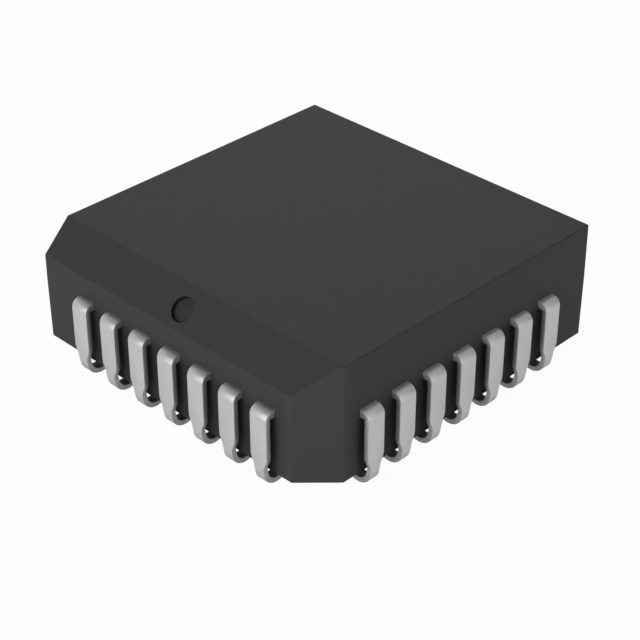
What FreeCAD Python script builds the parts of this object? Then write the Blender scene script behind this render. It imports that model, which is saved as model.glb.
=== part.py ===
import FreeCAD, Part
import math
import os

# Plastic leaded chip carrier with seven J-shaped leads on each of its four sides.
# Sizes are in millimetres and angles in degrees. The origin is the centre of the
# seating plane that the lead feet touch, +Z points up, and the pin-one side faces -Y.

V = FreeCAD.Vector

# Moulded body
leads_per_side = 7
lead_pitch = 1.27
body_width = 11.50        # square, across the walls at the parting plane
body_underside = 0.45     # clear height between the seating plane and the body
body_top = 4.29           # height of the top face
parting_height = 2.48     # parting plane of the mould, which is the middle of the strip
wall_draft = 0.3          # both halves of the body narrow away from the parting plane
pin_one_bevel = 0.965     # both legs of the 45 degree bevel along the pin-one edge
corner_chamfer = 1.01     # both legs of the upright chamfer on the corner after pin one
mould_round = 0.05        # rounding of the outside edges, apart from the underside's

# Round mark in the bevel, square to it, above the pin-one lead
mark_diameter = 0.78
mark_depth = 0.13
mark_drop = 0.07          # centre of the mark below the middle of the bevel, along its slope

# Round dent that the ejector pin leaves in the underside
ejector_diameter = 2.5
ejector_depth = 0.08

# Strip that the leads and the die pad are stamped from
strip_thickness = 0.25

# Outer part of a lead
lead_reach = 6.09         # centre of the part to the outer face of a lead's leg
leg_thickness = 0.17      # leg and hook, which are pressed thinner than the strip
shank_width = 0.635       # broad part of the leg
foot_width = 0.36         # narrow part of the leg and the hook
shoulder_start = 0.62     # height of the lower end of a shoulder, where the leg starts to lean in
shoulder_rise = 0.44      # height over which the leg widens
shoulder_steps = 4        # flats along the S-shaped edge of a shoulder
bend_radius = 0.27        # outside of the bend under the parting plane
hook_radius = 0.50        # outside of the round hook that the part stands on
hook_lean = 0.03          # outer face of the leg to the outermost point of the hook, inwards

# Pocket in the underside that the cut end of each hook turns up into
pocket_side_gap = 0.10
pocket_face_gap = 0.11
pocket_top_gap = 0.10

# Inner part of a lead
barb_setback = 0.35       # wall to the place where the locking barbs start to widen
barb_length = 0.40
barb_overhang = 0.14      # how far a barb stands out past the shank on each side
finger_root_width = 0.44  # behind the barbs
finger_tip_pitch = 0.74
finger_tip_width = 0.36
finger_gap = 0.25         # finger ends to the edge of the die pad

# Die pad with its four tie bars
pad_width = 5.2
pad_downset = 0.25        # how far the pad lies below the leads
tie_bar_width = 0.25
tie_bar_flat = 0.20       # flat stretch between the pad's corner and the ramp
tie_bar_ramp = 0.35       # length of the ramp, seen from above
tie_bar_cover = 0.15      # moulding compound left over the ends of the tie bars

# Silicon die and the adhesive under it
die_length = 3.7          # along X
die_width = 3.3           # along Y
die_thickness = 0.36
adhesive_thickness = 0.03
adhesive_margin = 0.10    # how far the adhesive spreads past the die

# Bond wires, one from the die to each lead
wire_diameter = 0.033
wire_sides = 6            # flats on each wire
bond_pitch = 0.42         # along the edge of the die
bond_inset = 0.12         # edge of the die to the bonds
stitch_inset = 0.18       # end of the finger to the bond on it
loop_rise = 0.20          # top of the loop above the die
loop_flat = 0.45          # level part of the loop

half_width = body_width / 2
strip_top = parting_height + strip_thickness / 2
strip_bottom = parting_height - strip_thickness / 2
pad_top = strip_top - pad_downset
adhesive_top = pad_top + adhesive_thickness
die_top = adhesive_top + die_thickness
barb_start = half_width - barb_setback
barb_end = barb_start - barb_length
finger_end = pad_width / 2 + finger_gap
leg_inner = lead_reach - leg_thickness
bend_start = lead_reach - bend_radius
contact_reach = lead_reach - hook_lean - hook_radius    # where the hooks touch the board
middle_lead = (leads_per_side - 1) // 2
lead_count = 4 * leads_per_side
side_angles = (-90, 0, 90, 180)     # pin-one side first, then anticlockwise from above
beyond = 1.0                        # how far a cutting shape reaches past what it cuts


def polygon(points):
    """Closed wire through the points."""
    return Part.makePolygon(list(points) + [points[0]])


def prism(points, travel):
    """Solid made by moving a flat outline along a vector."""
    return Part.Face(polygon(points)).extrude(travel)


def arc(start, middle, end):
    """Circular edge through three points."""
    return Part.Arc(start, middle, end).toShape()


def line(start, end):
    """Straight edge."""
    return Part.LineSegment(start, end).toShape()


def box_between(low, high):
    """Upright box between two opposite corners."""
    size = high - low
    return Part.makeBox(size.x, size.y, size.z, low)


def skinned(rings):
    """Solid with flat faces, through closed rings of points that match one to one."""
    faces = [Part.Face(polygon(rings[0])), Part.Face(polygon(rings[-1]))]
    for ring, after in zip(rings, rings[1:]):
        for here in range(len(ring)):
            there = here - 1
            faces.append(Part.Face(polygon((ring[there], ring[here], after[here], after[there]))))
    shell = Part.makeShell(faces)
    shell.sewShape()
    solid = Part.makeSolid(shell)
    if solid.Orientation == "Reversed":
        solid = Part.makeSolid(shell.reversed())
    return solid


def joined(solids):
    """One solid out of solids that meet."""
    return solids[0].multiFuse(solids[1:]).removeSplitter().Solids[0]


def turned(shape, angle):
    """Copy of a shape turned about the upright axis."""
    copy = shape.copy()
    copy.rotate(V(0, 0, 0), V(0, 0, 1), angle)
    return copy


# The body is a black thermoset moulded round the lead frame in two mould halves, so its
# walls narrow from the parting plane to the top face and to the underside.


def body_section(height):
    """Corners of the drafted body at a height, with the chamfered corner at +X -Y."""
    inset = abs(height - parting_height) * math.tan(math.radians(wall_draft))
    half = half_width - inset
    leg = corner_chamfer - (2 - math.sqrt(2)) * inset
    return (
        V(half, -half + leg, height),
        V(half, half, height),
        V(-half, half, height),
        V(-half, -half, height),
        V(half - leg, -half, height),
    )


def softened(half):
    """One half of the body with its edges rounded above and beside, but not underneath."""
    sharp = (parting_height, body_underside)
    edges = [
        edge
        for edge in half.Edges
        if not any(all(math.isclose(vertex.Z, z) for vertex in edge.Vertexes) for z in sharp)
    ]
    return half.makeFillet(mould_round, edges)


def pin_one_mark():
    """Cutting cylinder for the round mark, square to the bevel."""
    outward = V(0, -1, 1).normalize()
    downhill = V(0, -1, -1).normalize()
    middle = V(0, -half_width + pin_one_bevel / 2, body_top - pin_one_bevel / 2)
    floor = middle + downhill * mark_drop - outward * mark_depth
    return Part.makeCylinder(mark_diameter / 2, mark_depth + beyond, floor, outward)


def tip_pocket(offset):
    """Cutting box for the pocket over the hook of the lead at an offset along its side."""
    half = foot_width / 2 + pocket_side_gap
    inner = contact_reach - hook_radius
    low = V(inner - pocket_face_gap, offset - half, body_underside - beyond)
    ceiling = hook_radius + pocket_top_gap
    return box_between(low, V(inner + leg_thickness + pocket_face_gap, offset + half, ceiling))


def moulded_block():
    """Outside form of the body, before room is made for what it holds."""
    lower = skinned([body_section(body_underside), body_section(parting_height)])
    upper = skinned([body_section(parting_height), body_section(body_top)])
    bevel_line = -half_width + pin_one_bevel
    wedge = prism(
        (
            V(-body_width, bevel_line + beyond, body_top + beyond),
            V(-body_width, bevel_line - body_width, body_top - body_width),
            V(-body_width, bevel_line - body_width, body_top + beyond),
        ),
        V(2 * body_width, 0, 0),
    )
    return joined([softened(upper.cut(wedge)), softened(lower)])


# Every lead is one stamped and formed strip of copper alloy: a finger that reaches in to
# the die pad, two barbs that lock it in the compound, a broad shank bent down along the
# wall and pressed thinner there, a shoulder, and a narrow hook that curls in under the
# body. Leads are made for the +X side, with their middle plane at a given offset along Y,
# and then turned into place.


def finger(offset, tip_offset):
    """Flat inner part of a lead, from the bend outside the wall to the die pad."""
    edge_points = (
        (bend_start, offset, shank_width / 2),
        (barb_start, offset, shank_width / 2),
        (barb_end, offset, shank_width / 2 + barb_overhang),
        (barb_end, offset, finger_root_width / 2),
        (finger_end, tip_offset, finger_tip_width / 2),
    )
    left = [V(x, middle + half, strip_bottom) for x, middle, half in edge_points]
    right = [V(x, middle - half, strip_bottom) for x, middle, half in edge_points]
    return prism(left + right[::-1], V(0, 0, strip_thickness))


def bend(offset):
    """Quarter bend from the finger to the thinner leg, round outside and sharp inside."""
    side = offset - shank_width / 2
    low = strip_top - bend_radius
    swing = bend_radius * math.sqrt(0.5)
    finger_face = V(bend_start, side, strip_top)
    leg_face = V(lead_reach, side, low)
    crook = V(leg_inner, side, strip_bottom)
    edges = (
        arc(finger_face, V(bend_start + swing, side, low + swing), leg_face),
        line(leg_face, V(leg_inner, side, low)),
        line(V(leg_inner, side, low), crook),
        line(crook, V(bend_start, side, strip_bottom)),
        line(V(bend_start, side, strip_bottom), finger_face),
    )
    return Part.Face(Part.Wire(edges)).extrude(V(0, shank_width, 0))


def shoulder_points():
    """Heights and half widths of a leg up the S-shaped edge from the foot to the shank."""
    points = []
    for step in range(shoulder_steps + 1):
        share = step / shoulder_steps
        swell = (1 - math.cos(math.pi * share)) / 2
        half = (foot_width + (shank_width - foot_width) * swell) / 2
        points.append((shoulder_start + shoulder_rise * share, half))
    return points


def leg(offset):
    """Upright part of a lead, with its two shoulders."""
    edge_points = shoulder_points() + [(strip_top - bend_radius, shank_width / 2)]
    left = [V(leg_inner, offset + half, z) for z, half in edge_points]
    right = [V(leg_inner, offset - half, z) for z, half in edge_points]
    return prism(left + right[::-1], V(leg_thickness, 0, 0))


def touch_point(corner, centre, radius):
    """Point where the lower line from a corner touches an upright circle."""
    away = corner - centre
    angle = math.atan2(away.z, away.x) - math.acos(radius / away.Length)
    return centre + V(math.cos(angle), 0, math.sin(angle)) * radius


def hook(offset):
    """Foot that leans in below the shoulders, curls in under the body and turns up again."""
    inside = hook_radius - leg_thickness
    side = offset - foot_width / 2
    centre = V(contact_reach, side, hook_radius)
    outer = V(lead_reach, side, shoulder_start)
    inner = V(leg_inner, side, shoulder_start)
    outer_touch = touch_point(outer, centre, hook_radius)
    inner_touch = touch_point(inner, centre, inside)
    edges = (
        line(outer, outer_touch),
        arc(outer_touch, centre - V(0, 0, hook_radius), centre - V(hook_radius, 0, 0)),
        line(centre - V(hook_radius, 0, 0), centre - V(inside, 0, 0)),
        arc(centre - V(inside, 0, 0), centre - V(0, 0, inside), inner_touch),
        line(inner_touch, inner),
        line(inner, outer),
    )
    return Part.Face(Part.Wire(edges)).extrude(V(0, foot_width, 0))


def lead(offset, tip_offset):
    """One whole lead."""
    return joined([finger(offset, tip_offset), bend(offset), leg(offset), hook(offset)])


# The die pad is stamped from the same strip, pressed down below the leads, and held
# while the body is moulded by a tie bar that runs to each corner.


def tie_bar(end):
    """Tie bar along +X, from inside the pad's corner to its trimmed end."""
    corner = pad_width / math.sqrt(2)
    ramp_foot = corner + tie_bar_flat
    ramp_head = ramp_foot + tie_bar_ramp
    upper = (
        (corner - tie_bar_width, pad_top),
        (ramp_foot, pad_top),
        (ramp_head, strip_top),
        (end, strip_top),
    )
    lower = [(x, z - strip_thickness) for x, z in upper]
    outline = [V(x, -tie_bar_width / 2, z) for x, z in list(upper) + lower[::-1]]
    return prism(outline, V(0, tie_bar_width, 0))


def die_pad():
    """Pad and its four tie bars, with a shorter bar to the chamfered corner."""
    half = pad_width / 2
    plate = box_between(V(-half, -half, pad_top - strip_thickness), V(half, half, pad_top))
    full = body_width / math.sqrt(2) - mould_round - tie_bar_cover
    short = (body_width - corner_chamfer) / math.sqrt(2) - tie_bar_cover
    bars = [turned(tie_bar(full), angle) for angle in (45, 135, 225)]
    return joined([plate, *bars, turned(tie_bar(short), -45)])


# The silicon die is glued to the pad with a thin bed of adhesive.


def die():
    """Silicon die on its adhesive."""
    half = V(die_length / 2, die_width / 2, 0)
    return box_between(V(0, 0, adhesive_top) - half, V(0, 0, die_top) + half)


def die_adhesive():
    """Bed of adhesive that spreads a little past the die."""
    half = V(die_length / 2 + adhesive_margin, die_width / 2 + adhesive_margin, 0)
    return box_between(V(0, 0, pad_top) - half, V(0, 0, adhesive_top) + half)


# A fine gold wire joins each contact on the die to the end of its lead: straight up, level
# for a stretch, and down to the lead.


def slid(point, direction, target, normal):
    """Point moved along a direction until it lies in the plane at the target."""
    return point + direction * ((target - point).dot(normal) / direction.dot(normal))


def bond_wire(path):
    """Wire with mitred corners along the points of a path in an upright plane."""
    up = V(0, 0, 1)
    runs = [(end - start).normalize() for start, end in zip(path, path[1:])]
    across = runs[1].cross(up).normalize()
    planes = [up] + [(a + b).normalize() for a, b in zip(runs, runs[1:])] + [up]
    ring = []
    for step in range(wire_sides):
        angle = 2 * math.pi * step / wire_sides
        spoke = across * math.cos(angle) + across.cross(runs[0]) * math.sin(angle)
        ring.append(path[0] + spoke * wire_diameter / 2)
    rings = [ring]
    for run, target, normal in zip(runs, path[1:], planes[1:]):
        rings.append([slid(point, run, target, normal) for point in rings[-1]])
    return skinned(rings)


def wire_path(step, die_half):
    """Points of the wire that is a number of steps from the middle of the +X side."""
    bond = V(die_half - bond_inset, step * bond_pitch, die_top)
    spread = (lead_pitch - finger_tip_pitch) / (barb_end - finger_end)
    stitch_pitch = finger_tip_pitch + spread * stitch_inset
    stitch = V(finger_end + stitch_inset, step * stitch_pitch, strip_top)
    level = V(stitch.x - bond.x, stitch.y - bond.y, 0).normalize()
    crest = bond + V(0, 0, loop_rise)
    return [bond, crest, crest + level * loop_flat, stitch]


def save(shape, name):
    """Write one node."""
    shape.exportStep("parts/" + name + ".step")


# Leads and wires are numbered as the pins are: from the middle of the pin-one side,
# anticlockwise seen from above.

leads = {}
wires = {}
pockets = []
for side, angle in enumerate(side_angles):
    die_half = die_length / 2 if side % 2 else die_width / 2
    for place in range(leads_per_side):
        step = place - middle_lead
        number = (side * leads_per_side + step) % lead_count + 1
        offset = step * lead_pitch
        leads[number] = turned(lead(offset, step * finger_tip_pitch), angle)
        wires[number] = turned(bond_wire(wire_path(step, die_half)), angle)
        pockets.append(turned(tip_pocket(offset), angle))

pad = die_pad()
adhesive = die_adhesive()
silicon = die()

ejector_dent = Part.makeCylinder(
    ejector_diameter / 2,
    ejector_depth + beyond,
    V(0, 0, body_underside - beyond),
)
body = moulded_block().cut([pin_one_mark(), ejector_dent, *pockets])
body = body.cut([*leads.values(), *wires.values(), pad, adhesive, silicon])

os.makedirs("parts", exist_ok=True)
save(body.Solids[0], "moulded_body")
save(pad, "die_pad")
save(adhesive, "die_attach")
save(silicon, "silicon_die")
for number, shape in leads.items():
    save(shape, f"lead_{number:02d}")
for number, shape in wires.items():
    save(shape, f"bond_wire_{number:02d}")
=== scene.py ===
import math
import bmesh
import bpy
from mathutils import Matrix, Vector


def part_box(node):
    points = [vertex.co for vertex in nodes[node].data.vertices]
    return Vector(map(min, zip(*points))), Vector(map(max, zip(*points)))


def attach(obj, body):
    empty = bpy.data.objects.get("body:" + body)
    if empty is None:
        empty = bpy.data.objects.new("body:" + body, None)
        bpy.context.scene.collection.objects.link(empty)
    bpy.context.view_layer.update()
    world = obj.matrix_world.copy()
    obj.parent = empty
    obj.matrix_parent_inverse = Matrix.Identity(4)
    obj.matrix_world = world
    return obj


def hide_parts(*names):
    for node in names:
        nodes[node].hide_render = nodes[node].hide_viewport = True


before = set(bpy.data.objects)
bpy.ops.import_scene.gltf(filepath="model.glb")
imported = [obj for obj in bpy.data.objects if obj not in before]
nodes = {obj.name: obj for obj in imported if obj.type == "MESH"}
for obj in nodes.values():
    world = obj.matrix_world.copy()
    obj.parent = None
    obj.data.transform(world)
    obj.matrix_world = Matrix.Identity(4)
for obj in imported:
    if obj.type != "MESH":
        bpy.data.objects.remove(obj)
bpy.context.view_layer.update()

# Die pad
# A square of rolled copper alloy with a tie bar to each corner. It is stamped from the same
# strip as the leads, pressed down below them and sealed in the body.

copper_colours = ((0.60, 0.33, 0.21), (0.75, 0.44, 0.29))
copper_roughness = (0.28, 0.42)
rolled_grain = 3000         # grains to a metre
rolled_finer = (1, 20, 20)  # times that along X, Y and Z, because the strip was rolled along X
noise_span = (0.3, 0.7)     # a noise texture's values lie between these nearly everywhere


def feed(tree, socket, source):
    """Links a socket to another socket, or gives it a plain value."""
    if isinstance(source, bpy.types.NodeSocket):
        tree.links.new(source, socket)
    else:
        socket.default_value = source


def ranged(tree, value, low, high, at_low=0.0, at_high=1.0, smooth=False):
    """Socket that goes from at_low to at_high as a value goes from low to high."""
    node = tree.nodes.new("ShaderNodeMapRange")
    if smooth:
        node.interpolation_type = "SMOOTHSTEP"
    feed(tree, node.inputs["Value"], value)
    feed(tree, node.inputs["From Min"], low)
    feed(tree, node.inputs["From Max"], high)
    feed(tree, node.inputs["To Min"], at_low)
    feed(tree, node.inputs["To Max"], at_high)
    return node.outputs["Result"]


def blended(tree, share, first, second):
    """Socket with a colour that goes from the first to the second as a share goes to 1."""
    node = tree.nodes.new("ShaderNodeMixRGB")
    feed(tree, node.inputs["Fac"], share)
    feed(tree, node.inputs["Color1"], first)
    feed(tree, node.inputs["Color2"], second)
    return node.outputs["Color"]


def grain_group():
    """Node group for a fine grain: its colour, its roughness and its height."""
    group = bpy.data.node_groups.new("grain", "ShaderNodeTree")
    for in_out, name, kind in (
        ("INPUT", "Place", "NodeSocketVector"),
        ("INPUT", "Scale", "NodeSocketFloat"),
        ("INPUT", "Detail", "NodeSocketFloat"),
        ("INPUT", "Dark", "NodeSocketColor"),
        ("INPUT", "Light", "NodeSocketColor"),
        ("INPUT", "Smoothest", "NodeSocketFloat"),
        ("INPUT", "Roughest", "NodeSocketFloat"),
        ("OUTPUT", "Color", "NodeSocketColor"),
        ("OUTPUT", "Roughness", "NodeSocketFloat"),
        ("OUTPUT", "Height", "NodeSocketFloat"),
    ):
        group.interface.new_socket(name=name, in_out=in_out, socket_type=kind)
    taken = group.nodes.new("NodeGroupInput").outputs
    given = group.nodes.new("NodeGroupOutput").inputs
    noise = group.nodes.new("ShaderNodeTexNoise")
    feed(group, noise.inputs["Vector"], taken["Place"])
    feed(group, noise.inputs["Scale"], taken["Scale"])
    feed(group, noise.inputs["Detail"], taken["Detail"])
    height = ranged(group, noise.outputs["Fac"], *noise_span)
    gloss = ranged(group, height, 0.0, 1.0, taken["Smoothest"], taken["Roughest"])
    feed(group, given["Color"], blended(group, height, taken["Dark"], taken["Light"]))
    feed(group, given["Roughness"], gloss)
    feed(group, given["Height"], height)
    return group


grain = grain_group()


def new_material(name, finish):
    """Material with its Principled BSDF; finish gives the shader's plain socket values."""
    material = bpy.data.materials.new(name)
    material.use_nodes = True
    shader = material.node_tree.nodes["Principled BSDF"]
    for socket, value in finish.items():
        shader.inputs[socket].default_value = value
    return material, material.node_tree, shader


def object_place(tree, factors=(1.0, 1.0, 1.0)):
    """Socket with the place on the piece in metres, times a factor along each axis."""
    place = tree.nodes.new("ShaderNodeTexCoord")
    mapping = tree.nodes.new("ShaderNodeMapping")
    mapping.inputs["Scale"].default_value = factors
    tree.links.new(place.outputs["Object"], mapping.inputs["Vector"])
    return mapping.outputs["Vector"]


def grained(tree, place, scale, colours, roughness, detail=2.0):
    """Output sockets of the grain group, placed with this material's values."""
    node = tree.nodes.new("ShaderNodeGroup")
    node.node_tree = grain
    feed(tree, node.inputs["Place"], place)
    feed(tree, node.inputs["Scale"], scale)
    feed(tree, node.inputs["Detail"], detail)
    feed(tree, node.inputs["Dark"], (*colours[0], 1.0))
    feed(tree, node.inputs["Light"], (*colours[1], 1.0))
    feed(tree, node.inputs["Smoothest"], roughness[0])
    feed(tree, node.inputs["Roughest"], roughness[1])
    return node.outputs


def finished(tree, shader, colour, roughness):
    """Feeds the shader's colour and its roughness."""
    feed(tree, shader.inputs["Base Color"], colour)
    feed(tree, shader.inputs["Roughness"], roughness)


def dress(node_name, material):
    """Gives a CAD node its material."""
    mesh = nodes[node_name].data
    mesh.materials.clear()
    mesh.materials.append(material)


copper, tree, shader = new_material("bare_copper", {"Metallic": 1.0})
place = object_place(tree, rolled_finer)
rolled = grained(tree, place, rolled_grain, copper_colours, copper_roughness)
finished(tree, shader, rolled["Color"], rolled["Roughness"])
dress("die_pad", copper)

# Die attach
# A thin bed of silver-filled epoxy, which holds the die on its pad. It is squeezed out a
# little past the die and cured.

flake_colours = ((0.42, 0.42, 0.41), (0.66, 0.66, 0.64))
flake_roughness = (0.5, 0.6)
flake_grain = 25000         # grains to a metre
flake_relief = 4e-6         # depth in metres


def bumped(tree, shader, height, depth):
    """Relief of a real depth in metres on the shader's normal."""
    node = tree.nodes.new("ShaderNodeBump")
    feed(tree, node.inputs["Distance"], depth)
    feed(tree, node.inputs["Height"], height)
    feed(tree, shader.inputs["Normal"], node.outputs["Normal"])


adhesive, tree, shader = new_material("die_adhesive", {"Metallic": 0.4})
flakes = grained(tree, object_place(tree), flake_grain, flake_colours, flake_roughness)
finished(tree, shader, flakes["Color"], flakes["Roughness"])
bumped(tree, shader, flakes["Height"], flake_relief)
dress("die_attach", adhesive)

# Silicon die
# A polished square of silicon, sawn from its wafer, with blocks of circuit on its top. It
# lies in the adhesive on the pad.

block_colours = ((0.10, 0.12, 0.17, 1.0), (0.19, 0.17, 0.22, 1.0))
block_scale = 1500          # makes blocks of 0.33 by 0.17 mm
street_colour = (0.30, 0.29, 0.26, 1.0)
street_width = 0.02         # where a block is 0.5 long
polish_colours = ((0.1, 0.1, 0.1), (0.2, 0.2, 0.2))
polish_roughness = (0.15, 0.3)
polish_grain = 9000         # grains to a metre

silicon, tree, shader = new_material("silicon", {"Metallic": 0.8})
place = object_place(tree)
blocks = tree.nodes.new("ShaderNodeTexBrick")
feed(tree, blocks.inputs["Vector"], place)
feed(tree, blocks.inputs["Scale"], block_scale)
feed(tree, blocks.inputs["Color1"], block_colours[0])
feed(tree, blocks.inputs["Color2"], block_colours[1])
feed(tree, blocks.inputs["Mortar"], street_colour)
feed(tree, blocks.inputs["Mortar Size"], street_width)
polish = grained(tree, place, polish_grain, polish_colours, polish_roughness)
finished(tree, shader, blocks.outputs["Color"], polish["Roughness"])
dress("silicon_die", silicon)

# Bond wires
# Fine drawn gold wires, welded from the die's contacts to the ends of the leads, one to
# each lead. The mould compound holds them in their bows.

gold_colours = ((0.86, 0.58, 0.22), (0.98, 0.74, 0.36))
gold_roughness = (0.2, 0.3)
gold_grain = 60000          # grains to a metre

gold, tree, shader = new_material("gold_wire", {"Metallic": 1.0})
drawn = grained(tree, object_place(tree), gold_grain, gold_colours, gold_roughness)
finished(tree, shader, drawn["Color"], drawn["Roughness"])
for name in nodes:
    if name.startswith("bond_wire"):
        dress(name, gold)

# Leads
# Copper alloy strip, stamped, bent down along the wall and curled in under the body. The
# part outside the body is plated with matt tin after moulding, which softens its edges.

tin_colours = ((0.625, 0.625, 0.615), (0.68, 0.68, 0.67))
tin_roughness = (0.50, 0.62)
tin_grain = 30000           # grains to a metre
tin_relief = 1.5e-6         # depth in metres
finger_grain = 9000         # grains to a metre on the copper inside the body
close_detail = 4.0          # layers of noise on a surface that is seen from close by
plating_creep = 0.0001      # how far the plate reaches in past the wall
side_shade_tone = 0.75         # painted shade: brightness of the sheared sides against the rolled faces
side_shade_turn = (0.6, 0.9)   # how far a surface faces along its row, from rolled to sheared
hook_shade_tone = 0.75          # painted shade: brightness of the bottom of a hook against the legs
hook_shade_height = (0.0002, 0.00055)       # heights that the painted shade fades out between
mm_per_m = 1000.0
merge_distance = 0.0005     # millimetres
flat_angle = math.radians(1)            # faces that meet at less than this become one
sharpest_kept = math.radians(50)        # edges that turn by more than this are rounded
edge_round = 0.016          # millimetres
edge_segments = 2


def maths(tree, operation, *values):
    """Socket with the result of one operation on sockets or numbers."""
    node = tree.nodes.new("ShaderNodeMath")
    node.operation = operation
    for socket, value in zip(node.inputs, values):
        feed(tree, socket, value)
    return node.outputs["Value"]


def product(tree, first, *others):
    """Socket with the product of two or more sockets."""
    total = first
    for other in others:
        total = maths(tree, "MULTIPLY", total, other)
    return total


def toned(tree, colour, *tones):
    """Socket with a colour that each of the tones makes darker or lighter."""
    node = tree.nodes.new("ShaderNodeVectorMath")
    node.operation = "SCALE"
    feed(tree, node.inputs[0], colour)
    feed(tree, node.inputs["Scale"], product(tree, *tones))
    return node.outputs["Vector"]


def axes_of(tree, vector):
    """The X, Y and Z sockets of a vector."""
    node = tree.nodes.new("ShaderNodeSeparateXYZ")
    feed(tree, node.inputs["Vector"], vector)
    return node.outputs["X"], node.outputs["Y"], node.outputs["Z"]


def facing(tree):
    """X, Y and Z sockets of the way that the surface faces."""
    surface = tree.nodes.new("ShaderNodeTexCoord")
    return axes_of(tree, surface.outputs["Normal"])


tin, tree, shader = new_material("tin_plate", {"Metallic": 1.0})
place = object_place(tree)
plate = grained(tree, place, tin_grain, tin_colours, tin_roughness, close_detail)
finger = grained(tree, place, finger_grain, copper_colours, copper_roughness)
x, y, z = axes_of(tree, place)
away_x = maths(tree, "ABSOLUTE", x)
away_y = maths(tree, "ABSOLUTE", y)

# The plate covers all that is outside the walls or low down. The fingers are bare copper.
plated_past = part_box("moulded_body")[1].x - plating_creep
plated_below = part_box("lead_01")[1].z / 2
past_x = maths(tree, "GREATER_THAN", away_x, plated_past)
past_y = maths(tree, "GREATER_THAN", away_y, plated_past)
past_wall = maths(tree, "MAXIMUM", past_x, past_y)
low_down = maths(tree, "LESS_THAN", z, plated_below)
plated = maths(tree, "MAXIMUM", past_wall, low_down)
skin = blended(tree, plated, finger["Color"], plate["Color"])

# The sides that the stamping sheared are darkened in colour: painted shade, standing in for the
# shade that the neighbouring leads cast on them. On a lead that stands out along X they face
# along Y, and the other way round.
facing_x, facing_y = facing(tree)[:2]
stands_out_along_x = maths(tree, "GREATER_THAN", away_x, away_y)
along_row = tree.nodes.new("ShaderNodeMix")
feed(tree, along_row.inputs["Factor"], stands_out_along_x)
feed(tree, along_row.inputs["A"], maths(tree, "ABSOLUTE", facing_x))
feed(tree, along_row.inputs["B"], maths(tree, "ABSOLUTE", facing_y))
side_shade = ranged(tree, along_row.outputs["Result"], *side_shade_turn, 1.0, side_shade_tone)

# The hooks are darker towards the bottom: painted shade, standing in for the shade near the
# floor under the part.
painted_light_tone = ranged(tree, z, *hook_shade_height, hook_shade_tone, 1.0)

finished(tree, shader, toned(tree, skin, side_shade, painted_light_tone), plate["Roughness"])
bumped(tree, shader, plate["Height"], tin_relief)


def softened_lead(name):
    """A lead from the frame with its cut edges rounded, worked on in millimetres."""
    shape = bmesh.new()
    shape.from_mesh(nodes[name].data)
    bmesh.ops.scale(shape, vec=(mm_per_m, mm_per_m, mm_per_m), verts=shape.verts)
    bmesh.ops.remove_doubles(shape, verts=shape.verts, dist=merge_distance)
    bmesh.ops.dissolve_limit(
        shape, angle_limit=flat_angle, use_dissolve_boundaries=False,
        verts=shape.verts, edges=shape.edges, delimit=set(),
    )
    cut = [
        edge for edge in shape.edges
        if len(edge.link_faces) == 2 and edge.calc_face_angle() > sharpest_kept
    ]
    bmesh.ops.bevel(
        shape, geom=cut, offset=edge_round, offset_type="OFFSET", segments=edge_segments,
        profile=0.5, affect="EDGES", clamp_overlap=True, material=-1,
    )
    bmesh.ops.recalc_face_normals(shape, faces=shape.faces)
    bmesh.ops.scale(shape, vec=(1 / mm_per_m, 1 / mm_per_m, 1 / mm_per_m), verts=shape.verts)
    for face in shape.faces:
        face.smooth = True
    mesh = bpy.data.meshes.new(name + "_plated")
    shape.to_mesh(mesh)
    shape.free()
    mesh.materials.append(tin)
    piece = bpy.data.objects.new(name + "_plated", mesh)
    bpy.context.scene.collection.objects.link(piece)
    even = piece.modifiers.new("even", "WEIGHTED_NORMAL")
    even.keep_sharp = True
    return piece


for name in sorted(nodes):
    if name.startswith("lead"):
        piece = softened_lead(name)
        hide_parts(name)
        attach(piece, "root")

# Moulded body
# Black thermoset, moulded round the lead frame in two mould halves. They were finished with
# a fine spark-eroded surface, which the body takes over.

eroded_colours = ((0.0405, 0.0405, 0.041), (0.0455, 0.0455, 0.046))
eroded_roughness = (0.56, 0.68)
eroded_grain = 16000        # grains to a metre
eroded_relief = 2e-6        # depth in metres
wall_from = 0.00570         # middle of the part to just inside a wall
between_leads_shade_tone = 0.60          # brightness of the painted shade between the legs against the rest
between_leads_shade_row = (0.00432, 0.00410)         # middle of a side to where that painted shade starts and is full
between_leads_shade_height = (0.00255, 0.00220)      # heights that it starts and is full at, downwards
corner_highlight_tone = 1.15          # painted highlight: brightness of the lighter corner against the rest
corner_highlight_fade = (0.01010, 0.01047)        # X minus Y where the painted highlight starts and is full
upright_below = 0.4         # a surface counts as upright while it faces up less than this
mark_shade_tone = 0.38           # painted shade: brightness of the dark ring in the round mark against the rest
mark_shade_ring = (0.000372, 0.000393)       # the mark's axis to the painted shade's two edges
mark_centre = (0.0, -0.005317, 0.003758)
mark_axis = (0.0, -math.sqrt(0.5), math.sqrt(0.5))
mark_above = 0.003          # height that the painted shade stays above, as its ring runs on inside


def vector_maths(tree, operation, *vectors):
    """Output sockets of one operation on vectors."""
    node = tree.nodes.new("ShaderNodeVectorMath")
    node.operation = operation
    for socket, vector in zip(node.inputs, vectors):
        feed(tree, socket, vector)
    return node.outputs


def tone_in(tree, tone, *masks):
    """Socket with a tone where all of the masks are 1, and with 1 where any of them is 0."""
    return ranged(tree, product(tree, *masks), 0.0, 1.0, 1.0, tone)


compound, tree, shader = new_material("mould_compound", {"Specular IOR Level": 0.2})
place = object_place(tree)
eroded = grained(tree, place, eroded_grain, eroded_colours, eroded_roughness, close_detail)
x, y, z = axes_of(tree, place)

# Between the legs, low on the wall, the skin is darkened: painted shade, where the leads shade
# the wall.
away_x = maths(tree, "ABSOLUTE", x)
away_y = maths(tree, "ABSOLUTE", y)
outward = maths(tree, "MAXIMUM", away_x, away_y)
sideways = maths(tree, "MINIMUM", away_x, away_y)
on_wall = maths(tree, "GREATER_THAN", outward, wall_from)
in_row = ranged(tree, sideways, *between_leads_shade_row)
low_down = ranged(tree, z, *between_leads_shade_height)
between_leads_shade = tone_in(tree, between_leads_shade_tone, on_wall, in_row, low_down)
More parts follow.
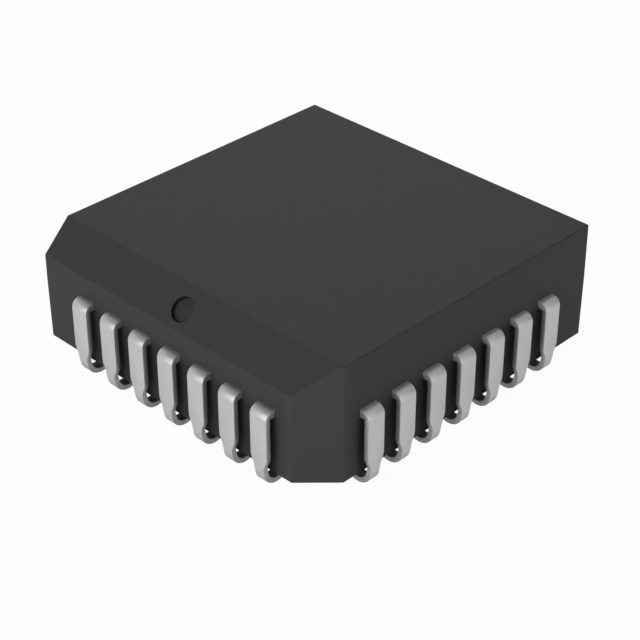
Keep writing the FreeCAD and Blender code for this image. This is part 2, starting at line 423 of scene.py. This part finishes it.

# The upright faces round the chamfered corner are a little lighter: a painted highlight along
# its edges.
near_corner = ranged(tree, maths(tree, "SUBTRACT", x, y), *corner_highlight_fade)
facing_up = facing(tree)[2]
upright = maths(tree, "LESS_THAN", facing_up, upright_below)
painted_light_tone = tone_in(tree, corner_highlight_tone, near_corner, upright)

# Painted shade lies along the wall of the round mark, which is sunk square to the bevel.
from_centre = vector_maths(tree, "SUBTRACT", place, mark_centre)["Vector"]
across_axis = vector_maths(tree, "CROSS_PRODUCT", from_centre, mark_axis)["Vector"]
from_axis = vector_maths(tree, "LENGTH", across_axis)["Value"]
past_inner = maths(tree, "GREATER_THAN", from_axis, mark_shade_ring[0])
inside_outer = maths(tree, "LESS_THAN", from_axis, mark_shade_ring[1])
by_mark = maths(tree, "GREATER_THAN", z, mark_above)
mark_shade = tone_in(tree, mark_shade_tone, past_inner, inside_outer, by_mark)

colour = toned(tree, eroded["Color"], between_leads_shade, painted_light_tone, mark_shade)
finished(tree, shader, colour, eroded["Roughness"])
bumped(tree, shader, eroded["Height"], eroded_relief)
dress("moulded_body", compound)

# Stage
# A plain white floor under a soft sky that is brightest high up behind the part. Four square
# lamps stand low around its front and its two sides, and one high behind it on the left.

floor_size = 4.0
floor_colour = (0.88, 0.88, 0.88, 1.0)
floor_finish = {"Roughness": 0.9, "Specular IOR Level": 0.0}
floor_shares = (            # how much plain white each kind of ray sees in the floor
    ("Is Camera Ray", 0.96),
    ("Is Glossy Ray", 0.46),
    ("Is Transmission Ray", 0.96),
)


def mixed(tree, share, first, second):
    """Shader that goes from the first to the second as a share goes to 1."""
    node = tree.nodes.new("ShaderNodeMixShader")
    feed(tree, node.inputs[0], share)
    feed(tree, node.inputs[1], first)
    feed(tree, node.inputs[2], second)
    return node.outputs["Shader"]


bpy.ops.mesh.primitive_plane_add(size=floor_size, location=(0, 0, 0))
floor = bpy.context.object
floor.name = "floor"
white, tree, shader = new_material("floor_white", floor_finish)
feed(tree, shader.inputs["Base Color"], floor_colour)
rays = tree.nodes.new("ShaderNodeLightPath")
shares = [maths(tree, "MULTIPLY", rays.outputs[ray], share) for ray, share in floor_shares]
most = maths(tree, "MAXIMUM", maths(tree, "MAXIMUM", shares[0], shares[1]), shares[2])
glow = tree.nodes.new("ShaderNodeEmission")
whitened = mixed(tree, most, shader.outputs["BSDF"], glow.outputs["Emission"])

# From underneath the floor is clear, so the part can be seen through it.
geometry = tree.nodes.new("ShaderNodeNewGeometry")
clear = tree.nodes.new("ShaderNodeBsdfTransparent")
one_way = mixed(tree, geometry.outputs["Backfacing"], whitened, clear.outputs["BSDF"])
feed(tree, tree.nodes["Material Output"].inputs["Surface"], one_way)
floor.data.materials.append(white)

sky_colour = (1.0, 1.0, 1.0, 1.0)
front_share = 0.05          # brightness of the sky in front against the sky behind
front_to_back = (-0.5, 0.5)             # Y of a direction while the sky goes from front to back
horizon_sky = 0.05
zenith_sky = 0.67
low_to_high = (0.2, 0.6)    # Z of a direction while the sky goes from horizon to zenith

world = bpy.data.worlds.new("sky")
bpy.context.scene.world = world
world.use_nodes = True
tree = world.node_tree
sky_place = tree.nodes.new("ShaderNodeTexCoord")
backward, upward = axes_of(tree, sky_place.outputs["Generated"])[1:]
behind = ranged(tree, backward, *front_to_back, front_share, 1.0, smooth=True)
overhead = ranged(tree, upward, *low_to_high, horizon_sky, zenith_sky, smooth=True)
background = tree.nodes["Background"]
feed(tree, background.inputs["Strength"], maths(tree, "MULTIPLY", behind, overhead))
feed(tree, background.inputs["Color"], sky_colour)

lamp_distance = 0.12
lamp_size = 0.08
lamps = (                   # name, direction from the part, watts
    ("front_lamp", (0.0, -1.0, 0.3), 0.0790),
    ("right_lamp", (1.0, 0.0, 0.2), 0.0345),
    ("corner_lamp", (0.7, -0.7, 0.15), 0.0180),
    ("left_lamp", (-1.0, -0.2, 0.3), 0.0275),
    ("back_lamp", (-0.6, 0.6, 0.6), 0.0275),
)


def soft_lamp(name, direction, power):
    """Square area lamp that faces the object."""
    data = bpy.data.lights.new(name, "AREA")
    data.shape = "SQUARE"
    data.size = lamp_size
    data.energy = power
    lamp = bpy.data.objects.new(name, data)
    lamp.location = Vector(direction).normalized() * lamp_distance
    lamp.rotation_mode = "QUATERNION"
    lamp.rotation_quaternion = Vector(direction).to_track_quat("Z", "Y")
    bpy.context.scene.collection.objects.link(lamp)


for name, direction, power in lamps:
    soft_lamp(name, direction, power)

# Camera
# It stands where the photograph was taken from, in front of the chamfered corner and above
# it, and looks at the lower half of the body.

camera_azimuth = math.radians(44.600)
camera_elevation = math.radians(33.065)
camera_distance = 0.054603
target_aside = 0.0001215    # middle of the part to the point it looks at, to its right
target_height = 0.000942    # floor to that point
sensor_width = 36.0         # millimetres
focal_in_pixels = 1779.2
frame_pixels = 640
nearest_seen = camera_distance / 50
farthest_seen = 10.0

camera = bpy.data.objects.new("camera", bpy.data.cameras.new("camera"))
bpy.context.scene.collection.objects.link(camera)
back = Vector((
    math.sin(camera_azimuth) * math.cos(camera_elevation),
    -math.cos(camera_azimuth) * math.cos(camera_elevation),
    math.sin(camera_elevation),
))
aside = Vector((math.cos(camera_azimuth), math.sin(camera_azimuth), 0))
target = aside * target_aside + Vector((0, 0, target_height))
camera.location = target + back * camera_distance
camera.rotation_mode = "QUATERNION"
camera.rotation_quaternion = back.to_track_quat("Z", "Y")
camera.data.sensor_width = sensor_width
camera.data.lens = focal_in_pixels / frame_pixels * sensor_width
camera.data.clip_start = nearest_seen
camera.data.clip_end = farthest_seen
scene = bpy.context.scene
scene.camera = camera
scene.view_settings.view_transform = "Standard"
